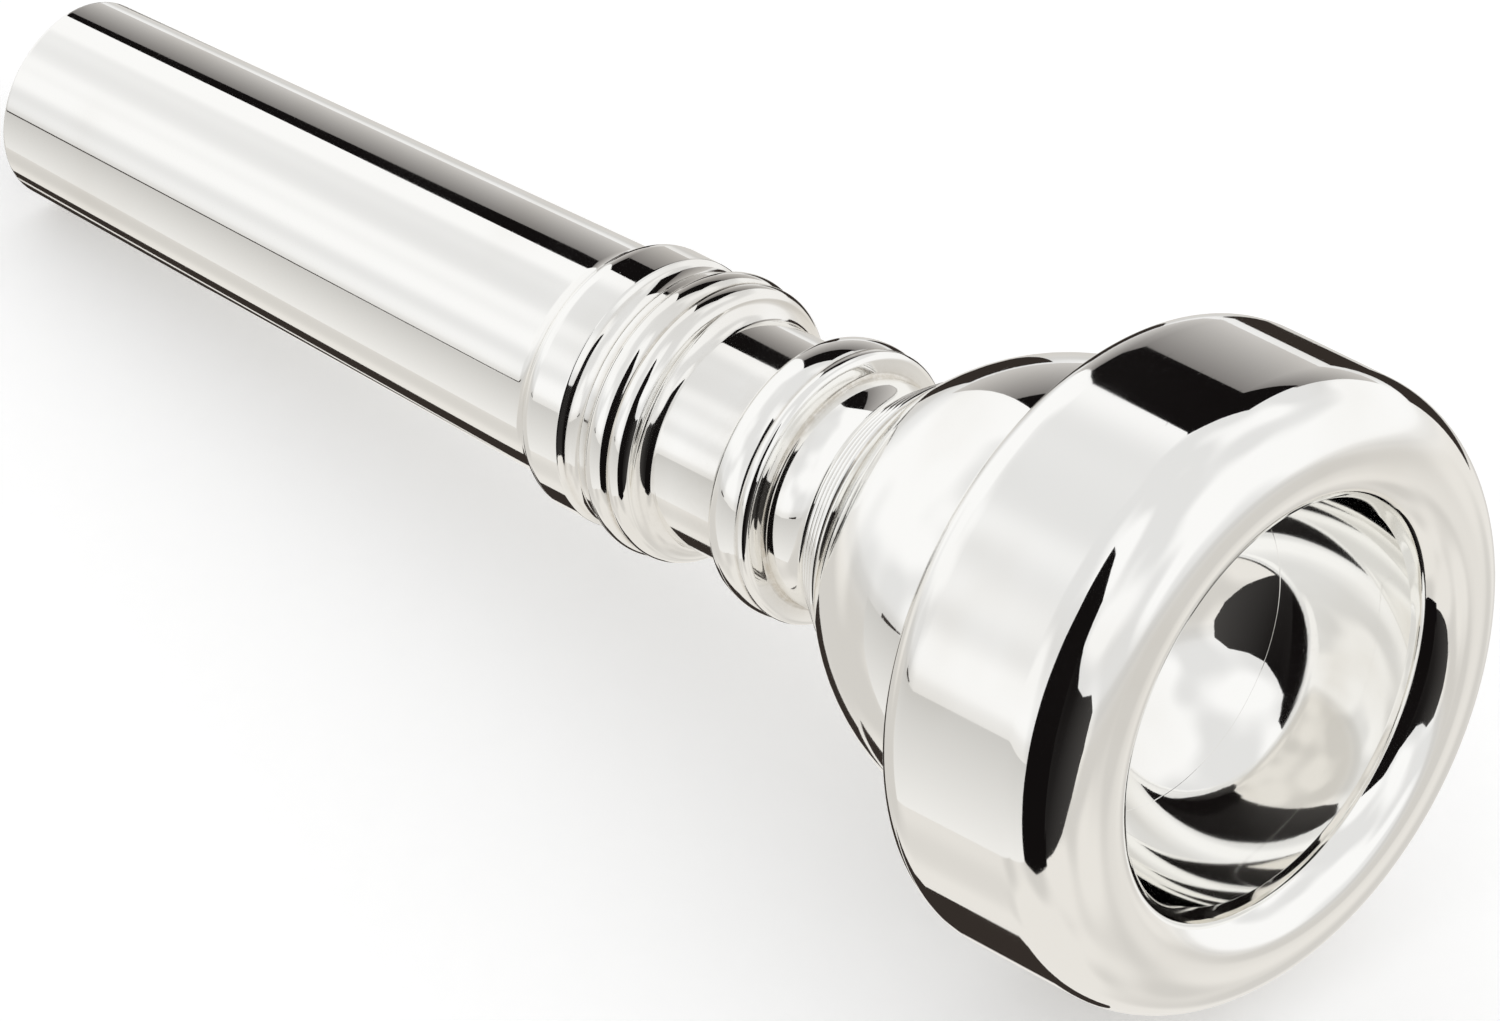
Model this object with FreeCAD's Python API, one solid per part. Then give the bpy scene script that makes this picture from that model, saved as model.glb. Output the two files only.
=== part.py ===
import FreeCAD, Part

# A cornet mouthpiece in three turned brass pieces that screw together:
#   rim    the playing rim with the upper wall of the cup, a ring with a female thread
#   cup    the bowl and the throat, with a male thread above and a female one below
#   stem   the tapered shank with its turned collars, and the backbore through it
# Millimetres.  The common axis is Y.  The origin is the centre of the shank's end face,
# and the rim faces -Y.  Every outline is drawn as (station, radius), where the station
# is the distance from the shank's end towards the rim, so Y = -station.

import math
import os

# ---- driving dimensions -------------------------------------------------------------
TOTAL_LENGTH = 69.1
RIM_DIAMETER = 27.0
CREST_DIAMETER = 20.8        # the rim's highest line
BITE_DIAMETER = 17.2         # the rim's inner edge, where the cup begins
BITE_DROP = 1.8              # the bite lies this far below the highest line
BITE_BREAK = 12.0            # degrees of its ellipse that the inner round stops short of
FRONT_ROUND_LENGTH = 3.15    # the cushioned front edge, along the axis
BACK_FACE_STATION = 58.55
BACK_ROUND = 2.15
COVE_RADIUS = 1.35           # between the bowl and the rim's back face

CUP_DEPTH = 8.7              # from the bite to the bottom of the bowl's ellipse
CUP_FLOOR_RADIUS = 3.2       # where the ellipse turns into the shoulder of the throat
THROAT_DIAMETER = 3.7

BOWL_OUTLINE_RADIUS = 11.48
BOWL_OUTLINE_CENTRE = (57.53, -1.5)
BOWL_FOOT = (49.1, 6.28)
FINE_RING_COUNT = 4          # turned rings between the neck and the bowl
FINE_RING_HEIGHT = 0.07

TIP_DIAMETER = 8.7
TIP_ROUND = 0.12
SHANK_TAPER = 0.05           # 1 in 20, on the diameter
SHANK_LENGTH = 31.2          # up to the first collar
NECK_DIAMETER = 9.86
COLLAR_DIAMETER = 11.66
RING_DIAMETER = 12.22
BEAD_DIAMETER = 11.94
BACKBORE_EXIT_DIAMETER = 7.1
BACKBORE_KNEE = (22.0, 3.05)

STEM_SEAM = 47.65            # the shoulder where stem and cup meet
STEM_SEAM_RADIUS = 5.27
RIM_SEAM = 57.2              # the shoulder where cup and rim meet, outside
CUP_SEAM = 62.0              # and the face where they meet, inside the cup

THREAD_PITCH = 0.75
THREAD_DEPTH = 0.4
THREAD_FLAT = 0.19           # width of the flat at the bottom of a thread's groove
THREAD_FLANK = math.tan(math.radians(30))
STEM_THREAD_RADIUS = 3.96    # crest of the male thread
RIM_THREAD_RADIUS = 8.94
THREAD_GAP = 0.04            # on radius, between a male crest and its female groove
RELIEF_LENGTH = 0.6          # the plain undercut at the end of each thread
SPIGOT_END = 53.45           # end face of the stem's male thread
SOCKET_END = 53.5            # floor of the cup's socket
THREAD_CHAMFER = 0.3

# ---- worked out ---------------------------------------------------------------------
RIM_RADIUS = RIM_DIAMETER / 2
CREST_RADIUS = CREST_DIAMETER / 2
BITE_RADIUS = BITE_DIAMETER / 2
BITE_STATION = TOTAL_LENGTH - BITE_DROP
THROAT_RADIUS = THROAT_DIAMETER / 2
TIP_RADIUS = TIP_DIAMETER / 2
SHANK_END_RADIUS = TIP_RADIUS + SHANK_LENGTH * SHANK_TAPER / 2
NECK_RADIUS = NECK_DIAMETER / 2
COLLAR_RADIUS = COLLAR_DIAMETER / 2
RING_RADIUS = RING_DIAMETER / 2
BEAD_RADIUS = BEAD_DIAMETER / 2
EXIT_RADIUS = BACKBORE_EXIT_DIAMETER / 2
RIM_THREAD_START = RIM_SEAM + 0.3
STEM_THREAD_START = STEM_SEAM + 0.3
LEAD_IN = 1.5 * THREAD_PITCH     # a female thread's groove starts this far outside


def point(station, radius):
    return FreeCAD.Vector(radius, -station, 0)


class Outline:
    """A closed half-section, drawn from point to point and turned about the axis."""

    def __init__(self, station, radius):
        self.start = point(station, radius)
        self.here = self.start
        self.edges = []

    def line(self, station, radius):
        there = point(station, radius)
        self.edges.append(Part.makeLine(self.here, there))
        self.here = there

    def arc(self, through, end):
        there = point(*end)
        self.edges.append(Part.Arc(self.here, point(*through), there).toShape())
        self.here = there

    def arc_about(self, centre, radius, first, last):
        """An arc by its centre: 0 degrees points away from the axis, 90 to the rim."""
        angles = [math.radians(a) for a in (first, (first + last) / 2, last)]
        ends = [(centre[0] + radius * math.sin(a), centre[1] + radius * math.cos(a))
                for a in angles]
        self.arc(ends[1], ends[2])

    def ellipse(self, centre, at_rim, at_side, end):
        """A quarter or less of an ellipse, from the last point to end."""
        curve = Part.Ellipse(point(*at_rim), point(*at_side), point(*centre))
        there = point(*end)
        first, last = sorted((curve.parameter(self.here), curve.parameter(there)))
        self.edges.append(Part.ArcOfEllipse(curve, first, last).toShape())
        self.here = there

    def turn(self):
        self.edges.append(Part.makeLine(self.here, self.start))
        wire = Part.Wire(Part.__sortEdges__(self.edges))
        return Part.Face(wire).revolve(FreeCAD.Vector(0, 0, 0), FreeCAD.Vector(0, 1, 0), 360)


def thread_cutter(surface, outward, first, last):
    """The swept groove of a thread, cut into a turned surface from station to station.

    outward is 1 for a groove in a hole's wall, and -1 for one in a shaft.  A pair of
    threads meshes when their first stations are an odd number of half pitches apart.
    """
    tip = surface + outward * THREAD_DEPTH
    proud = surface - outward * THREAD_GAP
    half_tip = THREAD_FLAT / 2
    half_proud = half_tip + (THREAD_DEPTH + THREAD_GAP) * THREAD_FLANK
    corners = [FreeCAD.Vector(tip, 0, -half_tip), FreeCAD.Vector(proud, 0, -half_proud),
               FreeCAD.Vector(proud, 0, half_proud), FreeCAD.Vector(tip, 0, half_tip)]
    section = Part.makePolygon(corners + corners[:1])
    helix = Part.makeLongHelix(THREAD_PITCH, last - first, surface, 0)
    cutter = Part.Wire(helix).makePipeShell([section], True, True)
    cutter.rotate(FreeCAD.Vector(0, 0, 0), FreeCAD.Vector(1, 0, 0), 90)
    cutter.translate(point(first, 0))
    return cutter


def bowl_outline_radius(station):
    centre_station, centre_radius = BOWL_OUTLINE_CENTRE
    return centre_radius + math.sqrt(BOWL_OUTLINE_RADIUS ** 2 - (station - centre_station) ** 2)


def cup_wall_radius(station):
    depth = (BITE_STATION - station) / CUP_DEPTH
    return BITE_RADIUS * math.sqrt(1 - depth ** 2)


def cup_wall(outline, end):
    """The wall of the cup, on one ellipse shared by the rim and the cup."""
    outline.ellipse((BITE_STATION, 0), (BITE_STATION - CUP_DEPTH, 0),
                    (BITE_STATION, BITE_RADIUS), end)


def make_rim():
    bore = RIM_THREAD_RADIUS - THREAD_DEPTH + THREAD_GAP
    relief = RIM_THREAD_RADIUS + 2 * THREAD_GAP
    seam_radius = bowl_outline_radius(RIM_SEAM)
    outline = Outline(RIM_SEAM, relief)
    outline.line(RIM_SEAM, seam_radius)
    outline.arc_about((RIM_SEAM, seam_radius + COVE_RADIUS), COVE_RADIUS, 180, 90)
    outline.line(BACK_FACE_STATION, RIM_RADIUS - BACK_ROUND)
    outline.arc_about((BACK_FACE_STATION + BACK_ROUND, RIM_RADIUS - BACK_ROUND),
                      BACK_ROUND, -90, 0)
    front = TOTAL_LENGTH - FRONT_ROUND_LENGTH
    outline.line(front, RIM_RADIUS)
    outline.ellipse((front, CREST_RADIUS), (TOTAL_LENGTH, CREST_RADIUS),
                    (front, RIM_RADIUS), (TOTAL_LENGTH, CREST_RADIUS))
    along = BITE_DROP / (1 - math.sin(math.radians(BITE_BREAK)))
    across = (CREST_RADIUS - BITE_RADIUS) / math.cos(math.radians(BITE_BREAK))
    inner = TOTAL_LENGTH - along
    outline.ellipse((inner, CREST_RADIUS), (TOTAL_LENGTH, CREST_RADIUS),
                    (inner, CREST_RADIUS - across), (BITE_STATION, BITE_RADIUS))
    cup_wall(outline, (CUP_SEAM, cup_wall_radius(CUP_SEAM)))
    outline.line(CUP_SEAM, relief)
    outline.line(CUP_SEAM - RELIEF_LENGTH, relief)
    outline.line(CUP_SEAM - RELIEF_LENGTH, bore)
    outline.line(RIM_SEAM + relief - bore, bore)
    blank = outline.turn()
    return blank.cut(thread_cutter(bore, 1, RIM_THREAD_START - LEAD_IN, CUP_SEAM - 0.3))


def fine_rings(outline):
    """Half-round rings that step up from the stem's end to the foot of the bowl."""
    foot_station, foot_radius = BOWL_FOOT
    run = (foot_station - STEM_SEAM) / FINE_RING_COUNT
    rise = (foot_radius - STEM_SEAM_RADIUS) / FINE_RING_COUNT
    for ring in range(FINE_RING_COUNT):
        middle = (STEM_SEAM + (ring + 0.5) * run - FINE_RING_HEIGHT,
                  STEM_SEAM_RADIUS + (ring + 0.5) * rise + 2 * FINE_RING_HEIGHT)
        end = (STEM_SEAM + (ring + 1) * run, STEM_SEAM_RADIUS + (ring + 1) * rise)
        outline.arc(middle, end)


def make_cup():
    socket = STEM_THREAD_RADIUS - THREAD_DEPTH + THREAD_GAP
    socket_relief = STEM_THREAD_RADIUS + 2 * THREAD_GAP
    collar_root = RIM_THREAD_RADIUS - THREAD_DEPTH - THREAD_GAP
    seam_radius = bowl_outline_radius(RIM_SEAM)
    outline = Outline(STEM_SEAM, socket_relief)
    outline.line(STEM_SEAM, STEM_SEAM_RADIUS)
    fine_rings(outline)
    foot = BOWL_FOOT[0] + 0.05
    outline.line(foot, bowl_outline_radius(foot))
    middle = (foot + RIM_SEAM) / 2
    outline.arc((middle, bowl_outline_radius(middle)), (RIM_SEAM, seam_radius))
    outline.line(RIM_SEAM, collar_root)
    outline.line(RIM_SEAM + RELIEF_LENGTH, collar_root)
    outline.line(RIM_SEAM + RELIEF_LENGTH, RIM_THREAD_RADIUS)
    outline.line(CUP_SEAM - THREAD_CHAMFER, RIM_THREAD_RADIUS)
    outline.line(CUP_SEAM, RIM_THREAD_RADIUS - THREAD_CHAMFER)
    outline.line(CUP_SEAM, cup_wall_radius(CUP_SEAM))
    floor = BITE_STATION - CUP_DEPTH * math.sqrt(1 - (CUP_FLOOR_RADIUS / BITE_RADIUS) ** 2)
    cup_wall(outline, (floor, CUP_FLOOR_RADIUS))
    steepness = CUP_DEPTH * CUP_FLOOR_RADIUS / (BITE_RADIUS ** 2)
    steepness /= math.sqrt(1 - (CUP_FLOOR_RADIUS / BITE_RADIUS) ** 2)
    tilt = math.atan(steepness)
    shoulder = (CUP_FLOOR_RADIUS - THROAT_RADIUS) / (1 - math.sin(tilt))
    centre = (floor - shoulder * math.cos(tilt), THROAT_RADIUS + shoulder)
    outline.arc_about(centre, shoulder, 90 + math.degrees(tilt), 180)
    outline.line(SOCKET_END, THROAT_RADIUS)
    outline.line(SOCKET_END, socket_relief)
    outline.line(SOCKET_END - RELIEF_LENGTH, socket_relief)
    outline.line(SOCKET_END - RELIEF_LENGTH, socket)
    outline.line(STEM_SEAM + socket_relief - socket, socket)
    blank = outline.turn()
    blank = blank.cut(thread_cutter(RIM_THREAD_RADIUS, -1, RIM_THREAD_START, CUP_SEAM + 1))
    return blank.cut(thread_cutter(socket, 1, STEM_THREAD_START - LEAD_IN, SOCKET_END - 0.3))


def shank(outline):
    """The end face and the taper that fits the instrument's receiver."""
    outline.line(0, TIP_RADIUS - TIP_ROUND)
    outline.arc_about((TIP_ROUND, TIP_RADIUS - TIP_ROUND), TIP_ROUND, -90, 0)
    outline.line(SHANK_LENGTH, SHANK_END_RADIUS)


def collar_and_ring(outline):
    """The first collar, an ogee and a short band, and the pair of rings beside it."""
    outline.arc((31.62, 5.19), (31.95, 5.36))
    outline.arc((32.3, 5.7), (32.85, COLLAR_RADIUS))
    outline.line(34.3, COLLAR_RADIUS)
    outline.line(34.5, 5.64)
    outline.arc((34.95, 5.53), (35.4, 5.62))
    outline.line(35.5, 5.74)
    outline.line(35.9, 5.78)
    outline.arc((36.55, RING_RADIUS), (37.25, 5.9))
    outline.arc((37.75, 5.98), (38.25, 5.65))
    outline.arc((38.45, 5.2), (38.9, NECK_RADIUS))


def bead(outline):
    """The second collar: a wide bead and a narrow one beside it."""
    outline.line(42.1, NECK_RADIUS)
    outline.arc((42.3, 4.99), (42.42, 5.16))
    outline.arc((42.7, 5.66), (43.1, 5.87))
    outline.arc((43.75, BEAD_RADIUS), (44.42, 5.83))
    outline.arc((44.7, 5.88), (44.97, 5.62))
    outline.line(45.05, 5.15)
    outline.arc((45.12, 4.99), (45.3, NECK_RADIUS))
    outline.line(45.8, NECK_RADIUS)


def make_stem():
    spigot_root = STEM_THREAD_RADIUS - THREAD_DEPTH - THREAD_GAP
    outline = Outline(0, EXIT_RADIUS)
    shank(outline)
    collar_and_ring(outline)
    bead(outline)
    outline.arc((46.75, 4.98), (STEM_SEAM, STEM_SEAM_RADIUS))
    outline.line(STEM_SEAM, spigot_root)
    outline.line(STEM_SEAM + RELIEF_LENGTH, spigot_root)
    outline.line(STEM_SEAM + RELIEF_LENGTH, STEM_THREAD_RADIUS)
    outline.line(SPIGOT_END - THREAD_CHAMFER, STEM_THREAD_RADIUS)
    outline.line(SPIGOT_END, STEM_THREAD_RADIUS - THREAD_CHAMFER)
    outline.line(SPIGOT_END, THROAT_RADIUS)
    outline.line(*BACKBORE_KNEE)
    blank = outline.turn()
    return blank.cut(thread_cutter(STEM_THREAD_RADIUS, -1, STEM_THREAD_START, SPIGOT_END + 1))


os.makedirs("parts", exist_ok=True)
for name, make in (("rim", make_rim), ("cup", make_cup), ("stem", make_stem)):
    piece = make()
    piece.exportStep("parts/" + name + ".step")
    print(name, "valid", piece.isValid(), "solids", len(piece.Solids), "mm3", round(piece.Volume, 1))
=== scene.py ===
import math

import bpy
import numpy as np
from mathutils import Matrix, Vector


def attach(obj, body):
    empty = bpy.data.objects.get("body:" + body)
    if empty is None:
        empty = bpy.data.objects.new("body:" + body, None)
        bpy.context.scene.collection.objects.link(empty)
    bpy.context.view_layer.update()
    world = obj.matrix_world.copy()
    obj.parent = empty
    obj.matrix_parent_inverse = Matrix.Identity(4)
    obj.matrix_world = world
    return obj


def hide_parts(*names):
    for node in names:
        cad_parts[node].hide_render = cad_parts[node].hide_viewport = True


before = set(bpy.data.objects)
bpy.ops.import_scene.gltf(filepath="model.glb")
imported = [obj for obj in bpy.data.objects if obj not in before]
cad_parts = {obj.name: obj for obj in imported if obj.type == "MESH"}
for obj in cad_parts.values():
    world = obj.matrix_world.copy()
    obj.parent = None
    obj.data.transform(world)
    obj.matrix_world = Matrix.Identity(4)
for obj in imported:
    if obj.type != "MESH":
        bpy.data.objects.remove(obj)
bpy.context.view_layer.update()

# A silver-plated cornet mouthpiece in three turned pieces, rim, cup and stem, on a pale
# floor in a light tent.  Lengths are in millimetres until they are written into a mesh.
# The axis is Y: the shank's end face is at Y = 0 and the rim faces -Y.  Outlines are
# drawn as (station, radius), where the station is -Y.

MM = 0.001

# ---- dimensions ---------------------------------------------------------------------
TOTAL_LENGTH = 69.1
RIM_RADIUS = 13.5
CREST_RADIUS = 10.4
BITE_RADIUS = 8.6
BITE_DROP = 1.8
BITE_BREAK = 12.0
BITE_STATION = TOTAL_LENGTH - BITE_DROP
FRONT_ROUND_LENGTH = 3.15
BACK_FACE_STATION = 58.55
BACK_ROUND = 2.15
COVE_RADIUS = 1.35

CUP_DEPTH = 8.7
CUP_FLOOR_RADIUS = 3.2
THROAT_RADIUS = 1.85

BOWL_OUTLINE_RADIUS = 11.48
BOWL_OUTLINE_CENTRE = (57.53, -1.5)
BOWL_FOOT = (49.1, 6.28)
FINE_RING_COUNT = 4
FINE_RING_HEIGHT = 0.07

TIP_RADIUS = 4.35
TIP_ROUND = 0.12
SHANK_LENGTH = 31.2
SHANK_END_RADIUS = 5.13
NECK_RADIUS = 4.93
COLLAR_RADIUS = 5.83
RING_RADIUS = 6.11
BEAD_RADIUS = 5.97
EXIT_RADIUS = 3.55
BACKBORE_KNEE = (22.0, 3.05)

STEM_SEAM = 47.65
STEM_SEAM_RADIUS = 5.27
RIM_SEAM = 57.2
CUP_SEAM = 62.0

THREAD_PITCH = 0.75
THREAD_DEPTH = 0.4
THREAD_FLAT = 0.19
STEM_THREAD_RADIUS = 3.96
RIM_THREAD_RADIUS = 8.94
THREAD_GAP = 0.04
RELIEF_LENGTH = 0.6
SPIGOT_END = 53.45
SOCKET_END = 53.5
THREAD_CHAMFER = 0.3
RIM_THREAD_START = RIM_SEAM + 0.3
STEM_THREAD_START = STEM_SEAM + 0.3
LEAD_IN = 1.5 * THREAD_PITCH

# ---- turned shapes ------------------------------------------------------------------
STEP = 0.01                  # spacing of the points an outline is first drawn with
EDGE_ROUND = 0.035           # sharp corners are broken to about this radius,
SEAM_ROUND = 0.004           # and those of the rim and the cup, which close a seam, less
SEGMENTS = 192               # round the axis
TURN_STEP = math.radians(5.0)    # the most an outline turns from one row to the next
ROW_STEP = 2.5               # the widest spacing of rows, and the same in a thread
THREAD_ROW_STEP = 0.1
TIGHT_BEND = math.radians(0.6)   # per STEP: a bend tighter than this gets a row at each end
ON_THREAD = 0.02             # a point this close to a thread's surface belongs to it
THREAD_FLANK = math.tan(math.radians(30))
RECESS_WIDTH = 0.09          # inside corners are blurred by this much to find a recess
RECESS_BEND = 4.0            # and this bend, in radians per millimetre, is a full one
RECESS_START = 0.15


class Outline:
    """A closed half-section, drawn from point to point in fine steps."""

    def __init__(self, station, radius):
        self.points = [(station, radius)]

    def follow(self, curve, length):
        count = max(2, int(length / STEP))
        self.points += [curve(i / count) for i in range(1, count + 1)]

    def line(self, station, radius):
        s, r = self.points[-1]
        self.follow(lambda t: (s + t * (station - s), r + t * (radius - r)),
                    math.hypot(station - s, radius - r))

    def arc_about(self, centre, radius, first, last):
        """An arc by its centre: 0 degrees points away from the axis, 90 to the rim."""
        a, b = math.radians(first), math.radians(last)
        self.follow(lambda t: (centre[0] + radius * math.sin(a + t * (b - a)),
                               centre[1] + radius * math.cos(a + t * (b - a))),
                    radius * abs(b - a))

    def arc(self, through, end):
        """An arc from the last point, through one point, to another."""
        (x1, y1), (x2, y2), (x3, y3) = self.points[-1], through, end
        d = 2 * (x1 * (y2 - y3) + x2 * (y3 - y1) + x3 * (y1 - y2))
        q1, q2, q3 = x1 * x1 + y1 * y1, x2 * x2 + y2 * y2, x3 * x3 + y3 * y3
        cx = (q1 * (y2 - y3) + q2 * (y3 - y1) + q3 * (y1 - y2)) / d
        cy = (q1 * (x3 - x2) + q2 * (x1 - x3) + q3 * (x2 - x1)) / d
        angles = [math.degrees(math.atan2(x - cx, y - cy))
                  for x, y in (self.points[-1], through, end)]
        turn = (angles[2] - angles[0]) % 360
        if (angles[1] - angles[0]) % 360 > turn:
            turn -= 360
        self.arc_about((cx, cy), math.hypot(x1 - cx, y1 - cy), angles[0], angles[0] + turn)

    def ellipse(self, centre, along, across, first, last):
        """An arc of an ellipse whose half-axes are along and across the turning axis."""
        a, b = math.radians(first), math.radians(last)
        self.follow(lambda t: (centre[0] + along * math.sin(a + t * (b - a)),
                               centre[1] + across * math.cos(a + t * (b - a))),
                    max(along, across) * abs(b - a))


def bowl_outline_radius(station):
    s, r = BOWL_OUTLINE_CENTRE
    return r + math.sqrt(BOWL_OUTLINE_RADIUS ** 2 - (station - s) ** 2)


def cup_angle(station):
    return -math.degrees(math.asin((BITE_STATION - station) / CUP_DEPTH))


def rim_outline():
    bore = RIM_THREAD_RADIUS - THREAD_DEPTH + THREAD_GAP
    relief = RIM_THREAD_RADIUS + 2 * THREAD_GAP
    seam_radius = bowl_outline_radius(RIM_SEAM)
    o = Outline(RIM_SEAM, relief)
    o.line(RIM_SEAM, seam_radius)
    o.arc_about((RIM_SEAM, seam_radius + COVE_RADIUS), COVE_RADIUS, 180, 90)
    o.line(BACK_FACE_STATION, RIM_RADIUS - BACK_ROUND)
    o.arc_about((BACK_FACE_STATION + BACK_ROUND, RIM_RADIUS - BACK_ROUND), BACK_ROUND, -90, 0)
    front = TOTAL_LENGTH - FRONT_ROUND_LENGTH
    o.line(front, RIM_RADIUS)
    o.ellipse((front, CREST_RADIUS), FRONT_ROUND_LENGTH, RIM_RADIUS - CREST_RADIUS, 0, 90)
    along = BITE_DROP / (1 - math.sin(math.radians(BITE_BREAK)))
    across = (CREST_RADIUS - BITE_RADIUS) / math.cos(math.radians(BITE_BREAK))
    o.ellipse((TOTAL_LENGTH - along, CREST_RADIUS), along, across, 90, 180 - BITE_BREAK)
    o.ellipse((BITE_STATION, 0), CUP_DEPTH, BITE_RADIUS, 0, cup_angle(CUP_SEAM))
    o.line(CUP_SEAM, relief)
    o.line(CUP_SEAM - RELIEF_LENGTH, relief)
    o.line(CUP_SEAM - RELIEF_LENGTH, bore)
    o.line(RIM_SEAM + relief - bore, bore)
    o.line(RIM_SEAM, relief)
    return o.points, [(bore, 1, RIM_THREAD_START - LEAD_IN, CUP_SEAM - RELIEF_LENGTH)]


def cup_outline():
    socket = STEM_THREAD_RADIUS - THREAD_DEPTH + THREAD_GAP
    socket_relief = STEM_THREAD_RADIUS + 2 * THREAD_GAP
    root = RIM_THREAD_RADIUS - THREAD_DEPTH - THREAD_GAP
    o = Outline(STEM_SEAM, socket_relief)
    o.line(STEM_SEAM, STEM_SEAM_RADIUS)
    run = (BOWL_FOOT[0] - STEM_SEAM) / FINE_RING_COUNT
    rise = (BOWL_FOOT[1] - STEM_SEAM_RADIUS) / FINE_RING_COUNT
    for ring in range(FINE_RING_COUNT):
        middle = (STEM_SEAM + (ring + 0.5) * run - FINE_RING_HEIGHT,
                  STEM_SEAM_RADIUS + (ring + 0.5) * rise + 2 * FINE_RING_HEIGHT)
        o.arc(middle, (STEM_SEAM + (ring + 1) * run, STEM_SEAM_RADIUS + (ring + 1) * rise))
    foot = BOWL_FOOT[0] + 0.05
    o.line(foot, bowl_outline_radius(foot))
    middle = (foot + RIM_SEAM) / 2
    o.arc((middle, bowl_outline_radius(middle)), (RIM_SEAM, bowl_outline_radius(RIM_SEAM)))
    o.line(RIM_SEAM, root)
    o.line(RIM_SEAM + RELIEF_LENGTH, root)
    o.line(RIM_SEAM + RELIEF_LENGTH, RIM_THREAD_RADIUS)
    o.line(CUP_SEAM - THREAD_CHAMFER, RIM_THREAD_RADIUS)
    o.line(CUP_SEAM, RIM_THREAD_RADIUS - THREAD_CHAMFER)
    wall = cup_angle(CUP_SEAM)
    o.line(CUP_SEAM, BITE_RADIUS * math.cos(math.radians(wall)))
    ratio = CUP_FLOOR_RADIUS / BITE_RADIUS
    floor = BITE_STATION - CUP_DEPTH * math.sqrt(1 - ratio ** 2)
    o.ellipse((BITE_STATION, 0), CUP_DEPTH, BITE_RADIUS, wall, cup_angle(floor))
    tilt = math.atan(CUP_DEPTH * ratio / BITE_RADIUS / math.sqrt(1 - ratio ** 2))
    shoulder = (CUP_FLOOR_RADIUS - THROAT_RADIUS) / (1 - math.sin(tilt))
    o.arc_about((floor - shoulder * math.cos(tilt), THROAT_RADIUS + shoulder), shoulder,
                90 + math.degrees(tilt), 180)
    o.line(SOCKET_END, THROAT_RADIUS)
    o.line(SOCKET_END, socket_relief)
    o.line(SOCKET_END - RELIEF_LENGTH, socket_relief)
    o.line(SOCKET_END - RELIEF_LENGTH, socket)
    o.line(STEM_SEAM + socket_relief - socket, socket)
    o.line(STEM_SEAM, socket_relief)
    return o.points, [
        (RIM_THREAD_RADIUS, -1, RIM_THREAD_START, CUP_SEAM),
        (socket, 1, STEM_THREAD_START - LEAD_IN, SOCKET_END - RELIEF_LENGTH)]


def stem_outline():
    root = STEM_THREAD_RADIUS - THREAD_DEPTH - THREAD_GAP
    o = Outline(0, EXIT_RADIUS)
    o.line(0, TIP_RADIUS - TIP_ROUND)
    o.arc_about((TIP_ROUND, TIP_RADIUS - TIP_ROUND), TIP_ROUND, -90, 0)
    o.line(SHANK_LENGTH, SHANK_END_RADIUS)
    o.arc((31.62, 5.19), (31.95, 5.36))
    o.arc((32.3, 5.7), (32.85, COLLAR_RADIUS))
    o.line(34.3, COLLAR_RADIUS)
    o.line(34.5, 5.64)
    o.arc((34.95, 5.53), (35.4, 5.62))
    o.line(35.5, 5.74)
    o.line(35.9, 5.78)
    o.arc((36.55, RING_RADIUS), (37.25, 5.9))
    o.arc((37.75, 5.98), (38.25, 5.65))
    o.arc((38.45, 5.2), (38.9, NECK_RADIUS))
    o.line(42.1, NECK_RADIUS)
    o.arc((42.3, 4.99), (42.42, 5.16))
    o.arc((42.7, 5.66), (43.1, 5.87))
    o.arc((43.75, BEAD_RADIUS), (44.42, 5.83))
    o.arc((44.7, 5.88), (44.97, 5.62))
    o.line(45.05, 5.15)
    o.arc((45.12, 4.99), (45.3, NECK_RADIUS))
    o.line(45.8, NECK_RADIUS)
    o.arc((46.75, 4.98), (STEM_SEAM, STEM_SEAM_RADIUS))
    o.line(STEM_SEAM, root)
    o.line(STEM_SEAM + RELIEF_LENGTH, root)
    o.line(STEM_SEAM + RELIEF_LENGTH, STEM_THREAD_RADIUS)
    o.line(SPIGOT_END - THREAD_CHAMFER, STEM_THREAD_RADIUS)
    o.line(SPIGOT_END, STEM_THREAD_RADIUS - THREAD_CHAMFER)
    o.line(SPIGOT_END, THROAT_RADIUS)
    o.line(*BACKBORE_KNEE)
    o.line(0, EXIT_RADIUS)
    return o.points, [(STEM_THREAD_RADIUS, -1, STEM_THREAD_START, SPIGOT_END)]


def smoothed(points, edge_round):
    """The closed outline resampled evenly, its corners broken, and its outward normals."""
    p = np.array(points)
    p = p[np.insert(np.hypot(*np.diff(p, axis=0).T) > 1e-6, 0, True)]
    run = np.insert(np.cumsum(np.hypot(*np.diff(p, axis=0).T)), 0, 0)
    count = int(run[-1] / STEP)
    even = np.linspace(0, run[-1], count, endpoint=False)
    p = np.stack([np.interp(even, run, p[:, k]) for k in (0, 1)], axis=1)
    frequency = np.fft.fftfreq(count, d=run[-1] / count)
    keep = np.exp(-2 * (math.pi * edge_round * frequency) ** 2)
    p = np.stack([np.fft.ifft(np.fft.fft(p[:, k]) * keep).real for k in (0, 1)], axis=1)
    tangent = np.roll(p, -1, axis=0) - np.roll(p, 1, axis=0)
    tangent /= np.hypot(*tangent.T)[:, None]
    area = np.sum(p[:, 0] * np.roll(p[:, 1], -1) - p[:, 1] * np.roll(p[:, 0], -1))
    normal = np.stack([tangent[:, 1], -tangent[:, 0]], axis=1) * (1 if area > 0 else -1)
    return p, normal, tangent


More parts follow.
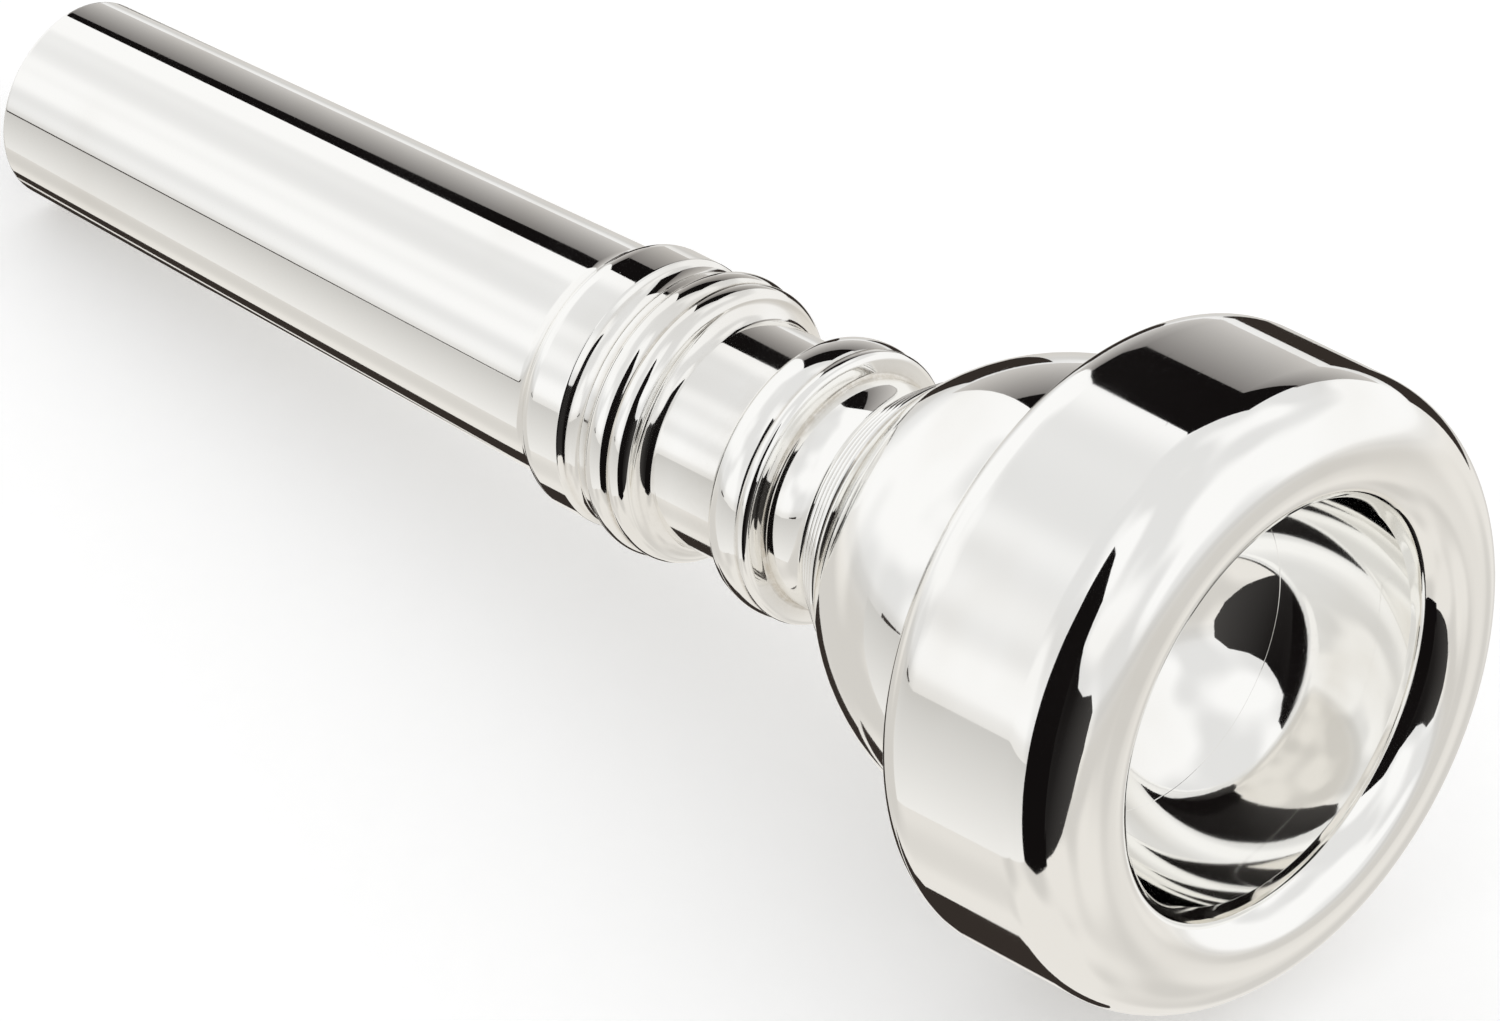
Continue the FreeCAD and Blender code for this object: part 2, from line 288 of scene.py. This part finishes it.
def rows(p, tangent, threads):
    """The points to keep: close together where the outline bends, or carries a thread."""
    angle = np.unwrap(np.arctan2(tangent[:, 1], tangent[:, 0]))
    bend = np.abs(np.diff(angle, prepend=angle[0]))
    threaded = np.zeros(len(p), bool)
    for radius, _, first, last in threads:
        near = np.abs(p[:, 1] - radius) < ON_THREAD
        threaded |= near & (p[:, 0] > first) & (p[:, 0] < last)
    cost = bend / TURN_STEP + STEP * np.where(threaded, 1 / THREAD_ROW_STEP, 1 / ROW_STEP)
    total = np.cumsum(cost)
    marks = np.arange(0, math.ceil(total[-1])) * total[-1] / math.ceil(total[-1])
    kept = np.searchsorted(total, marks + total[0])
    tight = bend > TIGHT_BEND
    ends = np.flatnonzero(tight != np.roll(tight, 1))
    return np.unique(np.concatenate([kept, ends - 2, ends + 1]) % len(p)), threaded


def groove(station, angle, start):
    """How deep a thread's groove is, from 0 to 1, at a station and an angle."""
    turn = (station - start) / THREAD_PITCH - angle / (2 * math.pi)
    off = np.abs(turn - np.round(turn)) * THREAD_PITCH
    depth = 1 - (off - THREAD_FLAT / 2) / (THREAD_DEPTH * THREAD_FLANK)
    return np.clip(depth, 0, 1)


# ---- objects ------------------------------------------------------------------------
def turned_mesh(name, outline, edge_round, materials):
    """A closed turned mesh with exact normals, threads cut in, and a recess attribute."""
    points, threads = outline()
    p, normal, tangent = smoothed(points, edge_round)
    kept, threaded = rows(p, tangent, threads)
    hollow = recess(p, tangent)[kept]
    p, normal, threaded = p[kept], normal[kept], threaded[kept]
    count = len(p)
    angle = np.arange(SEGMENTS) * 2 * math.pi / SEGMENTS
    radius = np.repeat(p[:, 1:], SEGMENTS, axis=1)
    for surface, outward, first, last in threads:
        zone = threaded & (np.abs(p[:, 1] - surface) < ON_THREAD)
        zone &= (p[:, 0] > first) & (p[:, 0] < last)
        cut = groove(p[zone, :1], angle[None, :], first)
        radius[zone] += outward * THREAD_DEPTH * cut
    across = np.stack([np.cos(angle), np.sin(angle)], axis=1)
    xyz = np.empty((count, SEGMENTS, 3))
    xyz[:, :, 0] = radius * across[:, 0]
    xyz[:, :, 1] = -p[:, :1]
    xyz[:, :, 2] = radius * across[:, 1]
    normals = np.empty_like(xyz)
    normals[:, :, 0] = normal[:, 1:] * across[:, 0]
    normals[:, :, 1] = -normal[:, :1]
    normals[:, :, 2] = normal[:, 1:] * across[:, 1]
    normals[threaded] = 0

    row, seg = np.meshgrid(np.arange(count), np.arange(SEGMENTS), indexing="ij")
    next_row, next_seg = (row + 1) % count, (seg + 1) % SEGMENTS
    corners = [row * SEGMENTS + seg, row * SEGMENTS + next_seg,
               next_row * SEGMENTS + next_seg, next_row * SEGMENTS + seg]
    faces = np.stack(corners, axis=2).reshape(-1, 4)
    flat = xyz.reshape(-1, 3) * MM
    a, b, c = (flat[faces[:, k]] for k in (0, 1, 2))
    volume = np.sum(a * np.cross(b, c))
    if volume < 0:
        faces = faces[:, ::-1]
    mesh = bpy.data.meshes.new(name)
    mesh.from_pydata(flat.tolist(), [], faces.tolist())
    for material in materials:
        mesh.materials.append(material)
    bare = (threaded | np.roll(threaded, -1)).astype(np.int32)
    mesh.polygons.foreach_set("material_index", np.repeat(bare, SEGMENTS))
    attribute = mesh.attributes.new("recess", "FLOAT", "POINT")
    attribute.data.foreach_set("value", np.repeat(hollow, SEGMENTS).astype(np.float32))
    mesh.shade_smooth()
    mesh.normals_split_custom_set_from_vertices(normals.reshape(-1, 3).tolist())
    mesh.update()
    piece = bpy.data.objects.new(name, mesh)
    bpy.context.scene.collection.objects.link(piece)
    return piece


def recess(p, tangent):
    """0 on open surfaces, rising to 1 in narrow grooves and inside corners."""
    angle = np.unwrap(np.arctan2(tangent[:, 1], tangent[:, 0]))
    area = np.sum(p[:, 0] * np.roll(p[:, 1], -1) - p[:, 1] * np.roll(p[:, 0], -1))
    bend = np.gradient(angle) / STEP * (-1 if area > 0 else 1)
    frequency = np.fft.fftfreq(len(p), d=STEP)
    keep = np.exp(-2 * (math.pi * RECESS_WIDTH * frequency) ** 2)
    blurred = np.fft.ifft(np.fft.fft(bend) * keep).real
    return np.clip(blurred / RECESS_BEND - RECESS_START, 0, 1)


# ---- materials ----------------------------------------------------------------------
class Nodes:
    """A short way to build a node tree."""

    def __init__(self, tree):
        self.tree = tree
        tree.nodes.clear()

    def add(self, kind, inputs=(), **settings):
        node = self.tree.nodes.new(kind)
        for key, value in settings.items():
            setattr(node, key, value)
        for key, value in dict(inputs).items():
            if isinstance(value, bpy.types.NodeSocket):
                self.tree.links.new(value, node.inputs[key])
            else:
                node.inputs[key].default_value = value
        return node

    def math(self, operation, a, b=0.0):
        return self.add("ShaderNodeMath", {0: a, 1: b}, operation=operation).outputs[0]

    def ramp(self, value, low, high, to_low=0.0, to_high=1.0):
        node = self.add("ShaderNodeMapRange", {0: value, 1: low, 2: high, 3: to_low,
                                               4: to_high}, interpolation_type="SMOOTHSTEP")
        return node.outputs[0]

    def noise(self, vector, scale, detail=2.0, roughness=0.5):
        inputs = {"Vector": vector, "Scale": scale, "Detail": detail, "Roughness": roughness}
        return self.add("ShaderNodeTexNoise", inputs).outputs[0]

    def blend(self, factor, first, second):
        node = self.add("ShaderNodeMix", {0: factor, 6: first, 7: second}, data_type="RGBA")
        return node.outputs[2]


def turned_metal(name, colour, tarnish_and_shade_colour, roughness, ring_height, ring_pitch):
    """Metal finished on a lathe: rings, hair scratches, wipe marks, a little tarnish, and tarnish
    with painted shade in grooves and inside corners.
    """
    material = bpy.data.materials.new(name)
    material.use_nodes = True
    n = Nodes(material.node_tree)
    place = n.add("ShaderNodeTexCoord").outputs["Object"]
    in_mm = n.add("ShaderNodeVectorMath", {0: place, 3: 1000.0}, operation="SCALE").outputs[0]
    axes = n.add("ShaderNodeSeparateXYZ", {0: in_mm})
    x, y, z = axes.outputs
    radius = n.math("SQRT", n.math("ADD", n.math("MULTIPLY", x, x), n.math("MULTIPLY", z, z)))
    wander = n.noise(in_mm, 0.12)
    profile = n.add("ShaderNodeCombineXYZ", {0: y, 1: radius, 2: wander}).outputs[0]
    rings = n.noise(profile, 1 / ring_pitch, detail=3.0, roughness=0.6)

    # hair scratches run in two slanting directions and are cut short by a mask
    scratches = None
    for turn in ((0.3, 0.5, 0.9), (1.1, -0.4, 2.2)):
        slant = n.add("ShaderNodeMapping", {"Vector": in_mm, "Rotation": turn,
                                            "Scale": (0.25, 11.0, 11.0)}).outputs[0]
        fine = n.ramp(n.noise(slant, 1.0, detail=1.0), 0.70, 0.76)
        scratches = fine if scratches is None else n.math("MAXIMUM", scratches, fine)
    scratches = n.math("MULTIPLY", scratches, n.ramp(n.noise(in_mm, 0.35), 0.45, 0.65))

    wiped = n.ramp(n.noise(in_mm, 0.16, detail=3.0), 0.40, 0.68)
    # grooves and inside corners take the stain colour, partly as tarnish and partly as painted
    # shade, and are made a little rougher
    hollow = n.add("ShaderNodeAttribute", attribute_name="recess").outputs["Fac"]
    speckle = n.noise(in_mm, 3.0, detail=4.0, roughness=0.65)
    groove_tarnish_and_shade = n.math("MULTIPLY", hollow, n.ramp(speckle, 0.25, 0.65, 0.55, 1.0))

    tarnish = n.math("MULTIPLY", n.ramp(n.noise(in_mm, 0.09, detail=3.0), 0.5, 0.8), 0.35)
    # the colour darkens toward the stain colour with random tarnish, and with painted shade and
    # tarnish in grooves and inside corners
    shade = n.blend(n.math("MAXIMUM", groove_tarnish_and_shade, tarnish), colour, tarnish_and_shade_colour)
    gloss = n.math("ADD", n.math("MULTIPLY", wiped, 0.030), roughness)
    gloss = n.math("ADD", gloss, n.math("MULTIPLY", scratches, 0.06))
    gloss = n.math("ADD", gloss, n.math("MULTIPLY", groove_tarnish_and_shade, 0.16))
    height = n.math("SUBTRACT", rings, n.math("MULTIPLY", scratches, 0.6))
    bump = n.add("ShaderNodeBump", {"Strength": 1.0, "Distance": ring_height * MM,
                                    "Height": height}).outputs[0]
    shader = n.add("ShaderNodeBsdfPrincipled", {
        "Base Color": shade, "Metallic": 1.0, "Roughness": gloss, "Normal": bump})
    n.add("ShaderNodeOutputMaterial", {0: shader.outputs[0]})
    return material


silver = turned_metal("silver_plate", (0.955, 0.950, 0.930, 1), (0.60, 0.55, 0.47, 1),
                      roughness=0.030, ring_height=0.00035, ring_pitch=0.16)
brass = turned_metal("bare_brass", (0.83, 0.63, 0.31, 1), (0.45, 0.30, 0.13, 1),
                     roughness=0.16, ring_height=0.0008, ring_pitch=0.10)

for node, outline, edge_round in (("rim", rim_outline, SEAM_ROUND),
                                  ("cup", cup_outline, SEAM_ROUND),
                                  ("stem", stem_outline, EDGE_ROUND)):
    piece = turned_mesh(node + "_turned", outline, edge_round, (silver, brass))
    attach(piece, "root")
    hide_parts(node)


# ---- studio -------------------------------------------------------------------------
def glow(name, low, high=None, axis=2):
    """An even glow, or one that runs from low to high along one side of the card's box."""
    material = bpy.data.materials.new(name)
    material.use_nodes = True
    n = Nodes(material.node_tree)
    colour = low
    if high is not None:
        place = n.add("ShaderNodeTexCoord").outputs["Generated"]
        colour = n.blend(n.add("ShaderNodeSeparateXYZ", {0: place}).outputs[axis], low, high)
    shader = n.add("ShaderNodeEmission", {"Color": colour, "Strength": 1.0})
    n.add("ShaderNodeOutputMaterial", {0: shader.outputs[0]})
    return material


def card(name, corners, material, distance=1.0):
    """A studio card seen from the object through the given azimuths and elevations.

    Azimuth 0 is where the rim faces, 90 is +X.  A card only shows in reflections.
    """
    points = []
    for azimuth, elevation in corners:
        a, e = math.radians(azimuth), math.radians(elevation)
        points.append((distance * math.sin(a) * math.cos(e),
                       -0.05 - distance * math.cos(a) * math.cos(e),
                       distance * math.sin(e)))
    mesh = bpy.data.meshes.new(name)
    mesh.from_pydata(points, [], [tuple(range(len(points)))])
    mesh.materials.append(material)
    thing = bpy.data.objects.new(name, mesh)
    bpy.context.scene.collection.objects.link(thing)
    thing.visible_camera = False
    thing.visible_diffuse = False
    thing.visible_shadow = False


# Grey and pale cards are set a little farther off, so that the black ones lie before them.
PANEL_DISTANCE = 1.02
black = glow("black_card", (0.006, 0.005, 0.005, 1))
brown = glow("brown_card", (0.035, 0.028, 0.024, 1))
grey = glow("grey_card", (0.62, 0.60, 0.58, 1), (0.18, 0.17, 0.165, 1))
pale = glow("pale_card", (0.90, 0.89, 0.87, 1), (0.62, 0.61, 0.59, 1))
dark = glow("dark_card", (0.006, 0.005, 0.005, 1), (0.06, 0.057, 0.055, 1), axis=0)

card("flag_left", [(-98, 62), (-92, 40), (-91, -5), (-94, -42), (-78, -46), (-60, -42),
                   (-60, 0), (-61, 12), (-60, 42), (-82, 60)], black)
card("flag_front_low", [(-62, 30), (-62, -40), (-50, -37), (-38, -31), (-29, -22), (-24, -12),
                        (-24, -3), (-31, 4), (-41, 7), (-50, 12), (-56, 20)], dark)
card("line_left", [(-142, -6.4), (-142, -8.2), (-130.9, -7.6), (-130.9, -7.0)], brown)
card("panel_low_left", [(-152, -7.5), (-150, -40), (-120, -42), (-92, -42), (-90, -10),
                        (-120, -8)], pale, PANEL_DISTANCE)
card("flag_back", [(109, 53), (109, 31), (150, 31), (150, 53)], black)
card("panel_back", [(107, 33), (107, 2), (150, 2), (150, 33)], grey, PANEL_DISTANCE)
card("flag_low", [(100, -3), (100, -21), (126, -21), (126, -3)], brown)
card("flag_low_far", [(135, 0), (135, -20), (146, -20), (146, 0)], brown)
card("flag_far", [(137.5, -24), (139, -30), (144, -36), (149, -43), (166, -43), (160, -24)], brown)
card("flag_under", [(135, -43), (135, -60), (178, -60), (178, -43)], brown)

# The floor touches the rim and the shank's end, so it leans a little along the axis.
floor_material = bpy.data.materials.new("pale_floor")
floor_material.use_nodes = True
n = Nodes(floor_material.node_tree)
grain = n.noise(n.add("ShaderNodeTexCoord").outputs["Object"], 900.0, detail=3.0)
FLOOR_GLOW = (1.0, 1.0, 1.0, 1)
paper = n.blend(grain, (0.955, 0.955, 0.955, 1), (0.985, 0.985, 0.985, 1))
shader = n.add("ShaderNodeBsdfPrincipled", {"Base Color": paper, "Roughness": 0.9,
                                            "Specular IOR Level": 0.1,
                                            "Emission Color": FLOOR_GLOW,
                                            "Emission Strength": 0.20})
n.add("ShaderNodeOutputMaterial", {0: shader.outputs[0]})
bpy.ops.mesh.primitive_circle_add(vertices=64, radius=5.0, fill_type="NGON")
floor = bpy.context.object
floor.name = "floor"
floor.data.materials.append(floor_material)
FLOOR_GAP = 0.02
floor_tilt = math.atan((RIM_RADIUS - TIP_RADIUS) / (BACK_FACE_STATION + BACK_ROUND))
floor.rotation_euler = (floor_tilt, 0, 0)
floor.location = (0, 0, -(TIP_RADIUS + FLOOR_GAP) * MM)
floor.visible_glossy = False

# The tent is white above and cream below, with a faint grey line where they meet and
# soft folds that shade it here and there.
WHITE = (1.0, 1.0, 1.0, 1)
CREAM = (0.84, 0.815, 0.775, 1)
LINE_GREY = (0.45, 0.44, 0.42, 1)
LINE_BELOW_LEVEL = 0.12
FOLD_SHADE = 0.80
world = bpy.data.worlds.new("light_tent")
bpy.context.scene.world = world
world.use_nodes = True
n = Nodes(world.node_tree)
way = n.add("ShaderNodeTexCoord").outputs["Generated"]
rise = n.add("ShaderNodeSeparateXYZ", {0: way}).outputs[2]
tent = n.blend(n.ramp(rise, -0.30, 0.04), CREAM, WHITE)
line = n.math("ABSOLUTE", n.math("ADD", rise, LINE_BELOW_LEVEL))
tent = n.blend(n.ramp(line, 0.02, 0.09, 0.16, 0.0), tent, LINE_GREY)
folds = n.ramp(n.noise(way, 1.6, detail=1.0), 0.38, 0.56, FOLD_SHADE, 1.0)
light = n.add("ShaderNodeBackground", {"Color": tent, "Strength": folds})
n.add("ShaderNodeOutputWorld", {0: light.outputs[0]})

CAMERA_PLACE = (-294.70, -326.74, 252.78)
CAMERA_AZIMUTH = -45.734         # degrees, as for the cards
CAMERA_ELEVATION = 31.892
lens = bpy.data.cameras.new("camera")
lens.lens = 288.63
lens.sensor_width = 36.0
lens.clip_start = 0.05
lens.clip_end = 20.0
camera = bpy.data.objects.new("camera", lens)
camera.location = Vector(CAMERA_PLACE) * MM
azimuth, elevation = math.radians(CAMERA_AZIMUTH), math.radians(CAMERA_ELEVATION)
back = Vector((math.sin(azimuth) * math.cos(elevation),
               -math.cos(azimuth) * math.cos(elevation), math.sin(elevation)))
camera.rotation_euler = (-back).to_track_quat("-Z", "Y").to_euler()
bpy.context.scene.collection.objects.link(camera)
bpy.context.scene.camera = camera
bpy.context.scene.view_settings.view_transform = "Standard"
